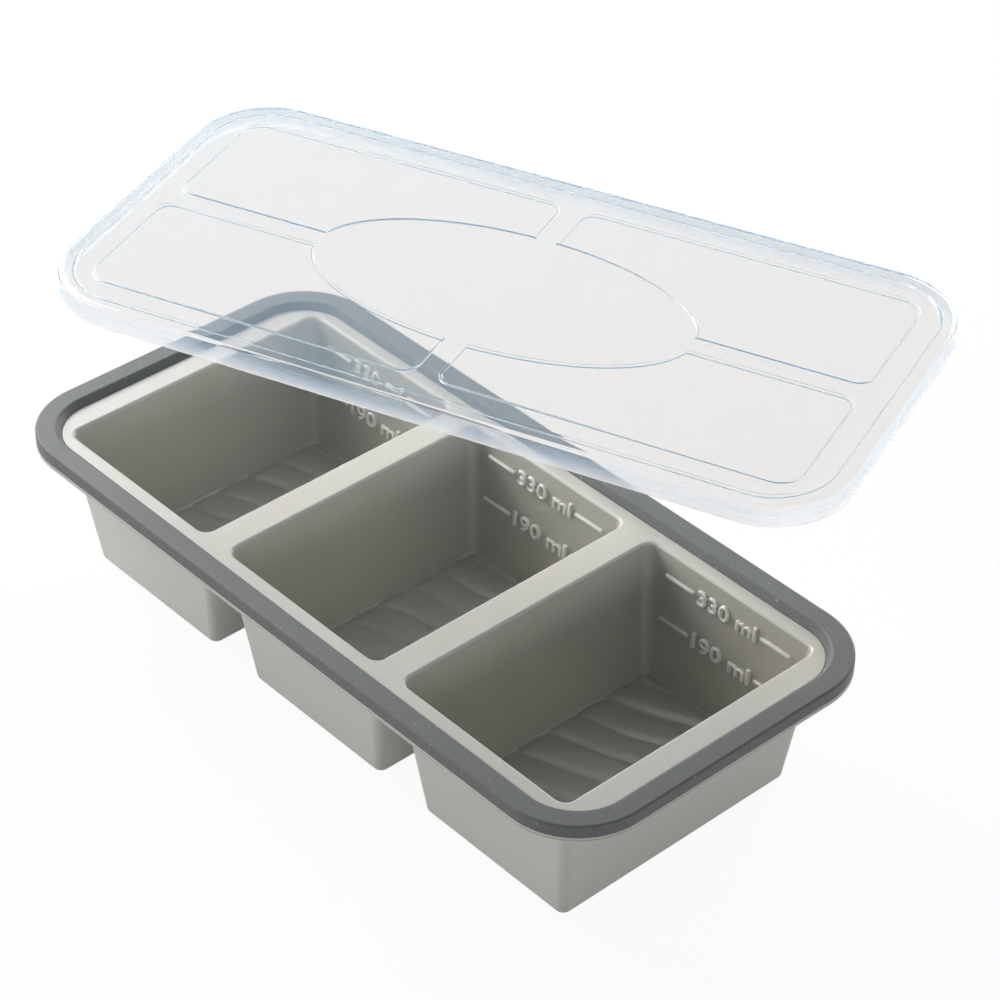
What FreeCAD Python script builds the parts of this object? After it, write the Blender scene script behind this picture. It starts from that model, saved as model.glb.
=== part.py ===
import FreeCAD, Part
import Sketcher
import math
import os

# Baby food freezer tray: one soft silicone moulding with three deep cups, a stiff
# frame ring round its edge with a wire hoop inside, and a clear lid, lifted off.
# Millimetres, +Z up. The origin is the middle of the middle cup's base, on the table.

os.makedirs("parts", exist_ok=True)

SIZES = [
    # cups
    ("cup_count", 3),
    ("cup_bridge", 13.1),
    ("cup_depth", 53.4),
    ("floor_thickness", 3.9),
    ("mouth_length", 80.4),
    ("mouth_width", 115.4),
    ("cavity_lean", 6.7),
    ("cavity_corner", 4.2),
    ("mouth_fillet", 1.3),
    ("wall_at_top", 1.7),
    ("shell_corner", 3.5),
    ("shell_taper", 6.7),
    ("base_fillet", 2.0),
    # ripples moulded in each cup floor
    ("ripple_pitch", 16.2),
    ("ripple_height", 1.4),
    ("ripple_crest", 5.2),
    ("ripple_skew", 17.0),
    ("ripple_start", -14.0),
    ("ripple_root", 1.2),
    ("ripple_grip", 1.0),
    # fill marks on each back wall
    ("mark_upper_drop", 9.25),
    ("mark_lower_drop", 27.2),
    ("mark_near", 16.2),
    ("mark_length", 14.3),
    ("mark_line", 1.3),
    ("mark_raise", 0.6),
    ("mark_root", 0.8),
    # deck and flange of the moulding
    ("deck_end", 10.3),
    ("deck_side", 5.8),
    ("deck_thickness", 2.2),
    ("deck_skirt", 2.2),
    ("flange_thickness", 2.1),
    ("flange_bevel", 0.9),
    # frame ring
    ("rim_corner", 28.5),
    ("rim_top", 7.7),
    ("rim_slope", 1.9),
    ("rim_rise", 2.7),
    ("rim_sink", 2.1),
    ("rim_outer_fillet", 0.9),
    ("rim_inner_fillet", 1.1),
    # wire hoop inside the ring
    ("wire_tall", 2.6),
    ("wire_thick", 1.5),
    ("wire_play", 0.05),
    ("wire_inset", 4.6),
    # lid
    ("lid_gap", 0.3),
    ("lid_wall", 0.9),
    ("lid_sheet", 1.1),
    ("lid_bead", 6.25),
    ("lid_bead_rise", 0.9),
    ("lid_ledge", 8.25),
    ("lid_panel_rise", 0.7),
    ("lid_panel_corner", 9.5),
    ("lid_channel_corner", 6.5),
    ("lid_channel", 8.0),
    ("lid_oval_long", 150.0),
    ("lid_oval_short", 71.0),
    ("lid_skirt_below", 0.3),
    ("lid_top_fillet", 1.1),
    ("lid_step_bevel", 0.35),
    ("lid_rib_wall", 1.1),
    ("lid_rib_deep", 2.2),
    ("lid_rib_play", 0.35),
    # where the lid hangs, lifted off
    ("lid_x", -34.7),
    ("lid_y", 65.8),
    ("lid_above_deck", 58.6),
    ("lid_yaw", 20.68),
    ("lid_pitch", -0.43),
    ("lid_roll", 1.08),
]

# sizes that follow from the ones above
FOLLOWING = [
    ("cup_pitch", "=mouth_length + cup_bridge"),
    ("cavity_floor_length", "=mouth_length - 2 * cavity_lean"),
    ("cavity_floor_width", "=mouth_width - 2 * cavity_lean"),
    ("deck_level", "=cup_depth + floor_thickness"),
    ("outer_top_length", "=mouth_length + 2 * wall_at_top"),
    ("outer_top_width", "=mouth_width + 2 * wall_at_top"),
    ("base_length", "=outer_top_length - 2 * shell_taper"),
    ("base_width", "=outer_top_width - 2 * shell_taper"),
    ("row_reach", "=(cup_count - 1) * cup_pitch"),
    ("rim_foot", "=rim_top + rim_slope"),
    ("deck_length", "=row_reach + mouth_length + 2 * deck_end"),
    ("deck_width", "=mouth_width + 2 * deck_side"),
    ("rim_length", "=deck_length + 2 * rim_foot"),
    ("rim_width", "=deck_width + 2 * rim_foot"),
    ("deck_corner", "=rim_corner - rim_foot"),
    ("rim_bottom", "=deck_level - rim_sink"),
    ("rim_level", "=deck_level + rim_rise"),
    ("flange_bottom", "=rim_bottom - flange_thickness"),
    ("slot_wide", "=wire_thick + 2 * wire_play"),
    ("wire_path_length", "=rim_length - 2 * wire_inset"),
    ("wire_path_width", "=rim_width - 2 * wire_inset"),
    ("wire_path_corner", "=rim_corner - wire_inset"),
    ("mark_upper_level", "=deck_level - mark_upper_drop"),
    ("mark_lower_level", "=deck_level - mark_lower_drop"),
    ("mark_upper_wall", "=mouth_width / 2 - mark_upper_drop * cavity_lean / cup_depth"),
    ("mark_lower_wall", "=mouth_width / 2 - mark_lower_drop * cavity_lean / cup_depth"),
    ("lid_length", "=rim_length + 2 * (lid_gap + lid_wall)"),
    ("lid_width", "=rim_width + 2 * (lid_gap + lid_wall)"),
    ("lid_corner", "=rim_corner + lid_gap + lid_wall"),
    ("lid_under", "=-lid_bead_rise - lid_sheet"),
    ("lid_panel_level", "=-lid_bead_rise + lid_panel_rise"),
    ("lid_inset", "=lid_bead + lid_ledge"),
    ("lid_skirt", "=lid_bead_rise + lid_sheet + rim_rise + rim_sink + flange_thickness"
                  " + lid_skirt_below"),
    ("lid_level", "=deck_level + lid_above_deck"),
]

doc = FreeCAD.newDocument("freezer_tray")
sheet = doc.addObject("Spreadsheet::Sheet", "sizes")
for row, (alias, content) in enumerate(SIZES + FOLLOWING, 1):
    sheet.set("A%d" % row, alias)
    sheet.set("B%d" % row, str(content))
    sheet.setAlias("B%d" % row, alias)
doc.recompute()


def size(alias):
    """One value of the sheet, as a number."""
    return float(getattr(sheet, alias))


def new_body(label):
    body = doc.addObject("PartDesign::Body", label)
    body.Label = label
    return body


def plane(body, role):
    return [f for f in body.Origin.OriginFeatures if f.Role == role][0]


def new_sketch(body, name, role="XY_Plane", x=None, y=None, z=None):
    """A sketch on an origin plane; x, y and z are offsets in the sketch's own axes."""
    sketch = body.newObject("Sketcher::SketchObject", name)
    sketch.AttachmentSupport = [(plane(body, role), "")]
    sketch.MapMode = "FlatFace"
    for axis, expr in (("x", x), ("y", y), ("z", z)):
        if expr is not None:
            sketch.setExpression("AttachmentOffset.Base." + axis, expr)
    return sketch


def vec(x, y):
    return FreeCAD.Vector(x, y, 0)


def rounded_rectangle(sketch, tag, length, width, corner):
    """Four lines and four tangent arcs about the sketch origin, bound to three sizes."""
    # a scratch object works the formulas out, as a sketch needs numbers to start from
    probe = doc.getObject("probe") or doc.addObject("App::FeaturePython", "probe")
    for key, expr in (("p_length", length), ("p_width", width), ("p_corner", corner)):
        if key not in probe.PropertiesList:
            probe.addProperty("App::PropertyFloat", key)
        probe.setExpression(key, expr)
    doc.recompute([probe])
    hx = probe.p_length / 2.0
    hy = probe.p_width / 2.0
    r = probe.p_corner
    centres = [(hx - r, -hy + r), (hx - r, hy - r), (-hx + r, hy - r), (-hx + r, -hy + r)]
    g = []
    ends = [
        (vec(-hx + r, -hy), vec(hx - r, -hy)),
        (vec(hx, -hy + r), vec(hx, hy - r)),
        (vec(hx - r, hy), vec(-hx + r, hy)),
        (vec(-hx, hy - r), vec(-hx, -hy + r)),
    ]
    for i in range(4):
        g.append(sketch.addGeometry(Part.LineSegment(*ends[i]), False))
        start = math.radians(270 + 90 * i)
        circle = Part.Circle(vec(*centres[i]), FreeCAD.Vector(0, 0, 1), r)
        arc = Part.ArcOfCircle(circle, start, start + math.pi / 2)
        g.append(sketch.addGeometry(arc, False))
    rules = []
    for i in range(8):
        rules.append(Sketcher.Constraint("Tangent", g[i], 2, g[(i + 1) % 8], 1))
    rules.append(Sketcher.Constraint("Horizontal", g[0]))
    rules.append(Sketcher.Constraint("Horizontal", g[4]))
    rules.append(Sketcher.Constraint("Vertical", g[2]))
    rules.append(Sketcher.Constraint("Vertical", g[6]))
    for k in (3, 5, 7):
        rules.append(Sketcher.Constraint("Equal", g[1], g[k]))
    rules.append(Sketcher.Constraint("Symmetric", g[1], 3, g[5], 3, -1, 1))
    sketch.addConstraint(rules)
    for key, kind, first, second, value, expr in (
        ("length", "DistanceX", g[6], g[2], 2 * hx, length),
        ("width", "DistanceY", g[0], g[4], 2 * hy, width),
    ):
        index = sketch.addConstraint(Sketcher.Constraint(kind, first, 1, second, 1, value))
        sketch.renameConstraint(index, key + tag)
        sketch.setExpression("Constraints." + key + tag, expr)
    index = sketch.addConstraint(Sketcher.Constraint("Radius", g[1], r))
    sketch.renameConstraint(index, "corner" + tag)
    sketch.setExpression("Constraints.corner" + tag, corner)
    return g


def plate(body, name, z, length, width, corner, thick, inner=None):
    """Pad upward from level z: a rounded plate, or a ring when inner sizes are given."""
    sketch = new_sketch(body, name + "_outline", z=z)
    rounded_rectangle(sketch, "_out", length, width, corner)
    if inner:
        rounded_rectangle(sketch, "_in", *inner)
    pad = body.newObject("PartDesign::Pad", name)
    pad.Profile = sketch
    pad.setExpression("Length", thick)
    doc.recompute()
    return pad


def hollow(body, name, z, length, width, corner, deep, inner=None):
    """Cut upward from level z, and check that the cut took material away."""
    before = body.Shape.Volume
    sketch = new_sketch(body, name + "_outline", z=z)
    rounded_rectangle(sketch, "_out", length, width, corner)
    if inner:
        rounded_rectangle(sketch, "_in", *inner)
    pocket = body.newObject("PartDesign::Pocket", name)
    pocket.Profile = sketch
    pocket.Reversed = True
    pocket.setExpression("Length", deep)
    doc.recompute()
    if not body.Shape.Volume < before:
        raise RuntimeError(name + " cut nothing")
    return pocket


def row_of_cups(body, name, features):
    """Repeat features made at the first cup along the row of cups."""
    pattern = body.newObject("PartDesign::LinearPattern", name)
    pattern.Originals = features
    pattern.Direction = (plane(body, "X_Axis"), [""])
    pattern.setExpression("Length", "sizes.row_reach")
    pattern.setExpression("Occurrences", "sizes.cup_count")
    body.Tip = pattern
    doc.recompute()
    return pattern


def all_along(test):
    """Turns a test of a point into a test of an edge: every sampled point has to pass."""
    return lambda edge: all(test(p) for p in edge.discretize(5))


def edge_names(shape, test):
    return ["Edge%d" % (i + 1) for i, edge in enumerate(shape.Edges) if test(edge)]


def dress_edges(body, name, test, amount, kind="Fillet"):
    """Fillet, or chamfer, every edge of the body that passes the test."""
    base = body.Tip
    names = edge_names(base.Shape, test)
    if not names:
        raise RuntimeError(name + " found no edges")
    dressing = body.newObject("PartDesign::" + kind, name)
    dressing.Base = (base, names)
    dressing.setExpression("Radius" if kind == "Fillet" else "Size", amount)
    doc.recompute()
    return dressing


def round_edges(body, name, test, amount, kind="Fillet"):
    return dress_edges(body, name, all_along(test), amount, kind)


def near(a, b, slack=0.02):
    return abs(a - b) < slack


# ---------------------------------------------------------------- silicone tray
moulding = new_body("tray_moulding")

plate(moulding, "flange", "sizes.flange_bottom",
      "sizes.rim_length", "sizes.rim_width", "sizes.rim_corner", "sizes.flange_thickness")
plate(moulding, "deck", "sizes.flange_bottom",
      "sizes.deck_length", "sizes.deck_width", "sizes.deck_corner",
      "sizes.deck_level - sizes.flange_bottom")
hollow(moulding, "deck_underside", "sizes.flange_bottom",
       "sizes.deck_length - 2 * sizes.deck_skirt",
       "sizes.deck_width - 2 * sizes.deck_skirt",
       "sizes.deck_corner - sizes.deck_skirt",
       "sizes.deck_level - sizes.deck_thickness - sizes.flange_bottom")

FLANGE_BOTTOM = size("flange_bottom")
DECK_X = size("deck_length") / 2
DECK_Y = size("deck_width") / 2


def flange_lower_edge(p):
    inside = abs(p.x) < DECK_X + 0.01 and abs(p.y) < DECK_Y + 0.01
    return near(p.z, FLANGE_BOTTOM) and not inside


# the lower half of the flange's edge leans in, below the line where the mould parts
round_edges(moulding, "flange_lean", flange_lower_edge, "sizes.flange_bevel", kind="Chamfer")

FIRST_CUP = "-sizes.row_reach / 2"


def tapered_block(body, name, level, tall, low, high):
    """A block at the first cup that widens upward from plan size low to plan size high."""
    block = body.newObject("PartDesign::AdditiveWedge", name)
    block.AttachmentSupport = [(plane(body, "XY_Plane"), "")]
    block.MapMode = "FlatFace"
    # the wedge tapers along its own Y axis, so it is stood up
    block.AttachmentOffset = FreeCAD.Placement(
        FreeCAD.Vector(0, 0, 0), FreeCAD.Rotation(FreeCAD.Vector(1, 0, 0), 90))
    block.setExpression("AttachmentOffset.Base.x", FIRST_CUP)
    block.setExpression("AttachmentOffset.Base.z", level)
    block.Ymin = 0
    block.setExpression("Ymax", tall)
    for axis, at_low, at_high in zip("XZ", low, high):
        block.setExpression(axis + "min", "-sizes.%s / 2" % at_low)
        block.setExpression(axis + "max", "sizes.%s / 2" % at_low)
        block.setExpression(axis + "2min", "-sizes.%s / 2" % at_high)
        block.setExpression(axis + "2max", "sizes.%s / 2" % at_high)
    doc.recompute()
    row_of_cups(body, name + "_row", [block])


def upright(bottom, top):
    """A test for edges that run all the way from level bottom to level top."""
    return lambda edge: edge.BoundBox.ZMin < bottom + 0.01 and edge.BoundBox.ZMax > top - 0.01


PITCH = size("cup_pitch")
DECK = size("deck_level")
FLOOR = size("floor_thickness")
REACH = size("row_reach") / 2
MOUTH_X = size("mouth_length") / 2
MOUTH_Y = size("mouth_width") / 2

# outsides of the cups: tapered down from inside the deck, rounded upright and at the base
tapered_block(moulding, "cup_shell", "0 mm", "sizes.deck_level - sizes.deck_thickness / 2",
              ("base_length", "base_width"), ("outer_top_length", "outer_top_width"))
dress_edges(moulding, "shell_corners", upright(0, DECK - size("deck_thickness")),
            "sizes.shell_corner")
round_edges(moulding, "base_rounding", lambda p: near(p.z, 0), "sizes.base_fillet")

# insides of the cups, cut from the moulding
cavities = new_body("cup_cavities")
cavities.AllowCompound = True
tapered_block(cavities, "cavity", "sizes.floor_thickness", "sizes.cup_depth",
              ("cavity_floor_length", "cavity_floor_width"), ("mouth_length", "mouth_width"))
dress_edges(cavities, "cavity_corners", upright(FLOOR, DECK), "sizes.cavity_corner")

opened = doc.addObject("Part::Cut", "tray_opened")
opened.Base = moulding
opened.Tool = cavities
doc.recompute()
finish = new_body("tray_finish")
finish.BaseFeature = opened
doc.recompute()


def mark_bars(level, wall, tag):
    """Two short raised bars, left and right of the place for the number."""
    # the XZ plane's normal is -Y, so the sketch goes to -wall and is padded back to +Y
    sketch = new_sketch(finish, "marks_" + tag, role="XZ_Plane", x=FIRST_CUP,
                        y=level, z="-(%s - sizes.mark_raise)" % wall)
    half = size("mark_line") / 2
    start = size("mark_near")
    end = start + size("mark_length")
    for name, side in (("left", -1), ("right", 1)):
        near_x = side * start
        far_x = side * end
        points = [vec(near_x, -half), vec(far_x, -half), vec(far_x, half), vec(near_x, half)]
        g = []
        for i in range(4):
            g.append(sketch.addGeometry(
                Part.LineSegment(points[i], points[(i + 1) % 4]), False))
        sketch.addConstraint([
            Sketcher.Constraint("Coincident", g[0], 2, g[1], 1),
            Sketcher.Constraint("Coincident", g[1], 2, g[2], 1),
            Sketcher.Constraint("Coincident", g[2], 2, g[3], 1),
            Sketcher.Constraint("Coincident", g[3], 2, g[0], 1),
            Sketcher.Constraint("Horizontal", g[0]),
            Sketcher.Constraint("Horizontal", g[2]),
            Sketcher.Constraint("Vertical", g[1]),
            Sketcher.Constraint("Symmetric", g[3], 2, g[3], 1, -1),
        ])
        spans = ((-1, 1, g[0], 1), (g[0], 1, g[0], 2))
        if side < 0:
            spans = ((g[0], 1, -1, 1), (g[0], 2, g[0], 1))
        for key, kind, ends, value, expr in (
            ("near_" + name, "DistanceX", spans[0], start, "sizes.mark_near"),
            ("long_" + name, "DistanceX", spans[1], end - start, "sizes.mark_length"),
            ("line_" + name, "DistanceY", (g[1], 1, g[1], 2), 2 * half, "sizes.mark_line"),
        ):
            index = sketch.addConstraint(Sketcher.Constraint(kind, *ends, value))
            sketch.renameConstraint(index, key)
            sketch.setExpression("Constraints." + key, expr)
    pad = finish.newObject("PartDesign::Pad", "mark_bars_" + tag)
    pad.Profile = sketch
    pad.Reversed = True
    pad.setExpression("Length", "sizes.mark_raise + sizes.mark_root")
    doc.recompute()
    return pad


upper = mark_bars("sizes.mark_upper_level", "sizes.mark_upper_wall", "upper")
lower = mark_bars("sizes.mark_lower_level", "sizes.mark_lower_wall", "lower")
row_of_cups(finish, "mark_rows", [upper, lower])


def on_mouth(p):
    """On the deck plane, and on or just inside the outline of one of the mouths."""
    if not near(p.z, DECK):
        return False
    nearest = min(abs(p.x + REACH - PITCH * k) for k in range(int(size("cup_count"))))
    return nearest < MOUTH_X + 0.05 and abs(p.y) < MOUTH_Y + 0.05


round_edges(finish, "mouth_rounding", on_mouth, "sizes.mouth_fillet")

# one ripple: a short steep rise to the crest, then a long fall, swept at a skew to X
ripple = new_body("ripple_sweep")
wave = new_sketch(ripple, "ripple_profile", role="YZ_Plane", x="sizes.ripple_start",
                  y="sizes.floor_thickness")
STEP = size("ripple_pitch")
TALL = size("ripple_height")
CREST = size("ripple_crest")
ROOT = size("ripple_root")


def crest_arc(chord, turn_from, turn_to):
    """An arc that is level at the crest and drops the ripple height over the chord."""
    radius = (chord * chord + TALL * TALL) / (2 * TALL)
    sweep_angle = math.asin(chord / radius)
    circle = Part.Circle(vec(CREST, TALL - radius), FreeCAD.Vector(0, 0, 1), radius)
    return Part.ArcOfCircle(circle, math.pi / 2 + turn_from * sweep_angle,
                            math.pi / 2 + turn_to * sweep_angle)


rise = wave.addGeometry(crest_arc(CREST, 0, 1), False)
fall = wave.addGeometry(crest_arc(STEP - CREST, -1, 0), False)
down = wave.addGeometry(Part.LineSegment(vec(0, 0), vec(0, -ROOT)), False)
foot = wave.addGeometry(Part.LineSegment(vec(0, -ROOT), vec(STEP, -ROOT)), False)
up = wave.addGeometry(Part.LineSegment(vec(STEP, -ROOT), vec(STEP, 0)), False)
wave.addConstraint([
    Sketcher.Constraint("Coincident", rise, 2, down, 1),
    Sketcher.Constraint("Coincident", down, 2, foot, 1),
    Sketcher.Constraint("Coincident", foot, 2, up, 1),
    Sketcher.Constraint("Coincident", up, 2, fall, 1),
    Sketcher.Constraint("Tangent", rise, 1, fall, 2),
    Sketcher.Constraint("Vertical", down),
    Sketcher.Constraint("Horizontal", foot),
    Sketcher.Constraint("Vertical", up),
    Sketcher.Constraint("Coincident", down, 1, -1, 1),
    Sketcher.Constraint("PointOnObject", up, 2, -1),
    Sketcher.Constraint("Vertical", rise, 1, rise, 3),
])
for key, rule, expr in (
    ("step", Sketcher.Constraint("DistanceX", foot, 1, foot, 2, STEP), "sizes.ripple_pitch"),
    ("root", Sketcher.Constraint("DistanceY", down, 2, down, 1, ROOT), "sizes.ripple_root"),
    ("crest", Sketcher.Constraint("DistanceX", -1, 1, rise, 1, CREST), "sizes.ripple_crest"),
    ("tall", Sketcher.Constraint("DistanceY", -1, 1, rise, 1, TALL), "sizes.ripple_height"),
):
    index = wave.addConstraint(rule)
    wave.renameConstraint(index, key)
    wave.setExpression("Constraints." + key, expr)
sweep = ripple.newObject("PartDesign::Pad", "ripple_pad")
sweep.Profile = wave
sweep.SideType = "Symmetric"
SKEW = math.radians(size("ripple_skew"))
sweep.UseCustomVector = True
sweep.Direction = FreeCAD.Vector(math.cos(SKEW), math.sin(SKEW), 0)
sweep.AlongSketchNormal = True
sweep.setExpression("Length", "sizes.mouth_length")
doc.recompute()
# enough ripples both ways to cover the floor at that skew
GRIP = size("ripple_grip")
COVER = (size("cavity_floor_width") / 2 + GRIP
         + (size("cavity_floor_length") / 2 + GRIP) * math.tan(SKEW))
START = size("ripple_start")
BACKWARD = math.ceil((COVER - START) / STEP)
FORWARD = math.ceil((COVER + START) / STEP) + 1
for name, count, reverse in (
    ("ripples_back", BACKWARD, False),
    ("ripples_front", FORWARD, True),
):
    line = ripple.newObject("PartDesign::LinearPattern", name)
    line.Originals = [sweep]
    line.Direction = (plane(ripple, "Y_Axis"), [""])
    line.Reversed = reverse
    line.setExpression("Length", "%d * sizes.ripple_pitch" % (count - 1))
    line.Occurrences = count
    ripple.Tip = line
    doc.recompute()

pieces = [finish]
for k in range(int(size("cup_count"))):
    slab = doc.addObject("Part::Box", "floor_slab_%d" % (k + 1))
    slab.setExpression("Length", "sizes.cavity_floor_length + 2 * sizes.ripple_grip")
    slab.setExpression("Width", "sizes.cavity_floor_width + 2 * sizes.ripple_grip")
    slab.setExpression("Height", "sizes.ripple_root + sizes.ripple_height")
    slab.setExpression("Placement.Base.x", "%d * sizes.cup_pitch - sizes.row_reach / 2"
                       " - sizes.cavity_floor_length / 2 - sizes.ripple_grip" % k)
    slab.setExpression("Placement.Base.y",
                       "-sizes.cavity_floor_width / 2 - sizes.ripple_grip")
    slab.setExpression("Placement.Base.z", "sizes.floor_thickness - sizes.ripple_root")
    waves = doc.addObject("Part::Feature", "ripple_copy_%d" % (k + 1))
    waves.Shape = ripple.Shape
    waves.setExpression("Placement.Base.x", "%d * sizes.cup_pitch - sizes.row_reach / 2" % k)
    floor = doc.addObject("Part::Common", "ripple_floor_%d" % (k + 1))
    floor.Base = slab
    floor.Tool = waves
    pieces.append(floor)
silicone_tray = doc.addObject("Part::MultiFuse", "silicone_tray")
silicone_tray.Shapes = pieces
silicone_tray.Refine = True
doc.recompute()

# ---------------------------------------------------------------- frame ring
rim = new_body("rim_frame")
plate(rim, "ring", "sizes.rim_bottom",
      "sizes.rim_length", "sizes.rim_width", "sizes.rim_corner",
      "sizes.rim_sink + sizes.rim_rise",
      inner=("sizes.deck_length", "sizes.deck_width", "sizes.deck_corner"))
hollow(rim, "wire_slot", "sizes.rim_bottom",
       "sizes.wire_path_length + sizes.slot_wide",
       "sizes.wire_path_width + sizes.slot_wide",
       "sizes.wire_path_corner + sizes.slot_wide / 2",
       "sizes.wire_tall + sizes.wire_play",
       inner=("sizes.wire_path_length - sizes.slot_wide",
              "sizes.wire_path_width - sizes.slot_wide",
              "sizes.wire_path_corner - sizes.slot_wide / 2"))

RIM_TOP = size("rim_level")
LIMIT_X = size("rim_length") / 2
LIMIT_Y = size("rim_width") / 2


def inner_top(p):
    inside = abs(p.x) < LIMIT_X - size("rim_top") and abs(p.y) < LIMIT_Y - size("rim_top")
    return near(p.z, RIM_TOP) and inside


# the ring's inner side leans back from the deck
ring_base = rim.Tip
lean = rim.newObject("PartDesign::Chamfer", "inner_lean")
lean.Base = (ring_base, edge_names(ring_base.Shape, all_along(inner_top)))
lean.ChamferType = "Two distances"
lean.setExpression("Size", "sizes.rim_slope")
lean.setExpression("Size2", "sizes.rim_rise")
doc.recompute()
TOP_EDGE = max(abs(v.Point.x) for v in lean.Shape.Vertexes
               if near(v.Point.z, RIM_TOP) and abs(v.Point.x) < LIMIT_X - 1)
if not near(TOP_EDGE, LIMIT_X - size("rim_top")):
    # the two distances were taken the other way round
    lean.FlipDirection = True
    doc.recompute()


def top_inner_edge(p):
    inside = abs(p.x) < LIMIT_X - 2 and abs(p.y) < LIMIT_Y - 2
    return near(p.z, RIM_TOP) and inside


def top_outer_edge(p):
    return near(p.z, RIM_TOP) and not top_inner_edge(p)


round_edges(rim, "outer_rounding", top_outer_edge, "sizes.rim_outer_fillet")
round_edges(rim, "inner_rounding", top_inner_edge, "sizes.rim_inner_fillet")

# ---------------------------------------------------------------- wire hoop
# flat wire on edge, bent to a closed hoop, that fills the ring's slot
hoop = new_body("rim_wire")
plate(hoop, "hoop", "sizes.rim_bottom",
      "sizes.wire_path_length + sizes.wire_thick",
      "sizes.wire_path_width + sizes.wire_thick",
      "sizes.wire_path_corner + sizes.wire_thick / 2",
      "sizes.wire_tall",
      inner=("sizes.wire_path_length - sizes.wire_thick",
             "sizes.wire_path_width - sizes.wire_thick",
             "sizes.wire_path_corner - sizes.wire_thick / 2"))

# ---------------------------------------------------------------- lid
# drawn about its own origin, with the top of its rim bead at level 0
lid = new_body("lid")


def lid_outline(inset):
    """Length, width and corner of the lid's outline moved in by inset."""
    return ("sizes.lid_length - 2 * (%s)" % inset,
            "sizes.lid_width - 2 * (%s)" % inset,
            "sizes.lid_corner - (%s)" % inset)


def lid_plate(name, z, inset, thick, inner=None):
    return plate(lid, name, z, *lid_outline(inset), thick,
                 inner=lid_outline(inner) if inner else None)


lid_plate("skirt", "-sizes.lid_skirt", "0", "sizes.lid_skirt", inner="sizes.lid_wall")
# the bead and the sheet each start inside the wall beside them, so that all is one solid
lid_plate("rim_bead", "-sizes.lid_sheet", "sizes.lid_wall / 2", "sizes.lid_sheet",
          inner="sizes.lid_bead")
lid_plate("bead_web", "sizes.lid_under", "sizes.lid_bead - sizes.lid_wall",
          "sizes.lid_bead_rise + sizes.lid_sheet", inner="sizes.lid_bead")
lid_plate("sheet", "sizes.lid_under", "sizes.lid_bead - sizes.lid_wall / 2", "sizes.lid_sheet")


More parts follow.
